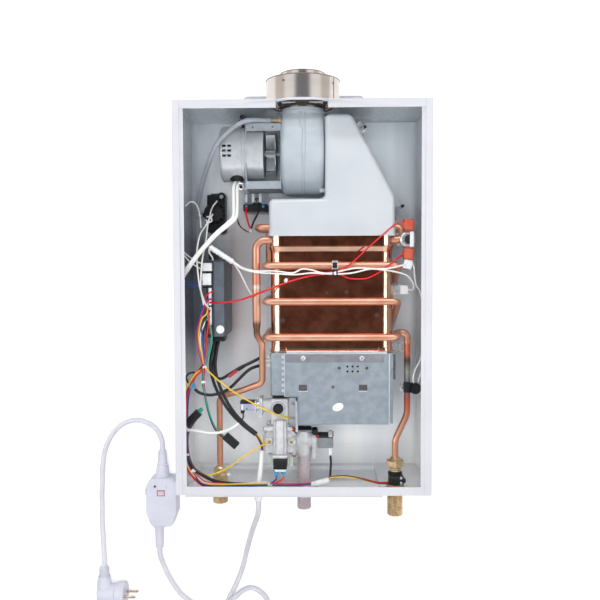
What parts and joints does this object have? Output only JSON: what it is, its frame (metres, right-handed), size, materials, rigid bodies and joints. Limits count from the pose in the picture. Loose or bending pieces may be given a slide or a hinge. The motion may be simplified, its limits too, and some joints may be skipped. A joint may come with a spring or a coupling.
{
  "type": "wall-hung instant gas water heater",
  "caption": "Open steel case with a fan flue, copper heat exchanger, gas burner and valve, controls, water ports and a mains cord with breaker and plug.",
  "frame": {"origin": "middle of the back panel's outer face, which lies on the floor", "axes": "+Z out of the open front, +Y towards the flue, +X to the right seen from the front; the heater is stored lying on its back"},
  "size_m": [0.4768, 0.8534, 0.155],
  "materials": {
    "case_paint": "satin",
    "zinc_sheet": "satin",
    "hood_sheet": "satin",
    "stainless": "brushed",
    "steel": "satin",
    "fan_aluminium": "satin",
    "cast_aluminium": "sand cast",
    "motor_iron": "varnished",
    "bearing_steel": "ground",
    "copper": "bare copper",
    "brass": "machined",
    "black_rubber": "matt",
    "grey_rubber": "matt",
    "black_plastic": "matt",
    "grey_plastic": "matt",
    "white_plastic": "glossy",
    "ceramic": "glazed",
    "dark_wire": "matt",
    "white_wire": "matt",
    "cord_sheath": "soft PVC",
    "cord_fittings": "satin",
    "lilac_plastic": "glossy"
  },
  "bodies": {
    "heater": {"back_shell": "case_paint", "top_panel": "case_paint", "bottom_panel": "case_paint", "hanging_plate": "zinc_sheet", "lower_plate": "zinc_sheet", "air_collar": "stainless", "exhaust_spigot": "stainless", "collar_gasket": "black_rubber", "collar_screws": "steel", "fan_housing": "zinc_sheet", "motor_shell": "fan_aluminium", "motor_front": "fan_aluminium", "motor_core": "motor_iron", "motor_bearings": "bearing_steel", "motor_bracket": "zinc_sheet", "motor_grommet": "black_rubber", "pressure_nipple": "brass", "pressure_hose": "grey_rubber", "pressure_switch": "black_plastic", "fan_capacitor": "black_plastic", "exhaust_hood": "hood_sheet", "hood_clips": "zinc_sheet", "jacket": "copper", "fin_block": "copper", "fin_tube": "copper", "coil_tube": "copper", "wire_clip": "steel", "outlet_pipe": "copper", "outlet_port": "brass", "inlet_pipe": "copper", "flow_sensor": "black_plastic", "inlet_port": "brass", "heat_sensors": "white_plastic", "frost_stat": "black_plastic", "burner_box": "zinc_sheet", "burner_plate": "zinc_sheet", "burner_bars": "steel", "nozzle_rail": "cast_aluminium", "electrodes": "ceramic", "gas_valve": "cast_aluminium", "valve_coil": "black_plastic", "side_solenoids": "steel", "gas_elbow": "cast_aluminium", "gas_pipe": "steel", "control_box": "grey_plastic", "control_plugs": "white_plastic", "loom": "dark_wire", "leads": "white_wire", "cord_gland": "cord_fittings", "mains_cord": "cord_sheath", "cord_coil": "cord_sheath", "breaker_body": "cord_fittings", "plug_cord": "cord_sheath", "mains_plug": "cord_fittings"},
    "fan_rotor": {"impeller": "fan_aluminium", "motor_shaft": "bearing_steel", "cooling_fan": "fan_aluminium"},
    "flow_rotor": {"flow_turbine": "white_plastic"},
    "reset_key": {"reset_button": "lilac_plastic"},
    "test_key": {"test_button": "lilac_plastic"}
  },
  "joints": [
    {"name": "fan_spin", "type": "hinge", "parent": "heater", "child": "fan_rotor", "pos_m": [0, 0.196, 0.072], "axis": [1, 0, 0], "continuous": true},
    {"name": "turbine_spin", "type": "hinge", "parent": "heater", "child": "flow_rotor", "pos_m": [0.1225, -0.241, 0.112], "axis": [0, 1, 0], "continuous": true},
    {"name": "reset_press", "type": "slide", "parent": "heater", "child": "reset_key", "axis": [0, 0, -1], "range_m": [0, 0.002], "stiffness_N_per_m": 300, "springref_m": -0.001},
    {"name": "test_press", "type": "slide", "parent": "heater", "child": "test_key", "axis": [1, 0, 0], "range_m": [0, 0.002], "stiffness_N_per_m": 300, "springref_m": -0.001}
  ]
}
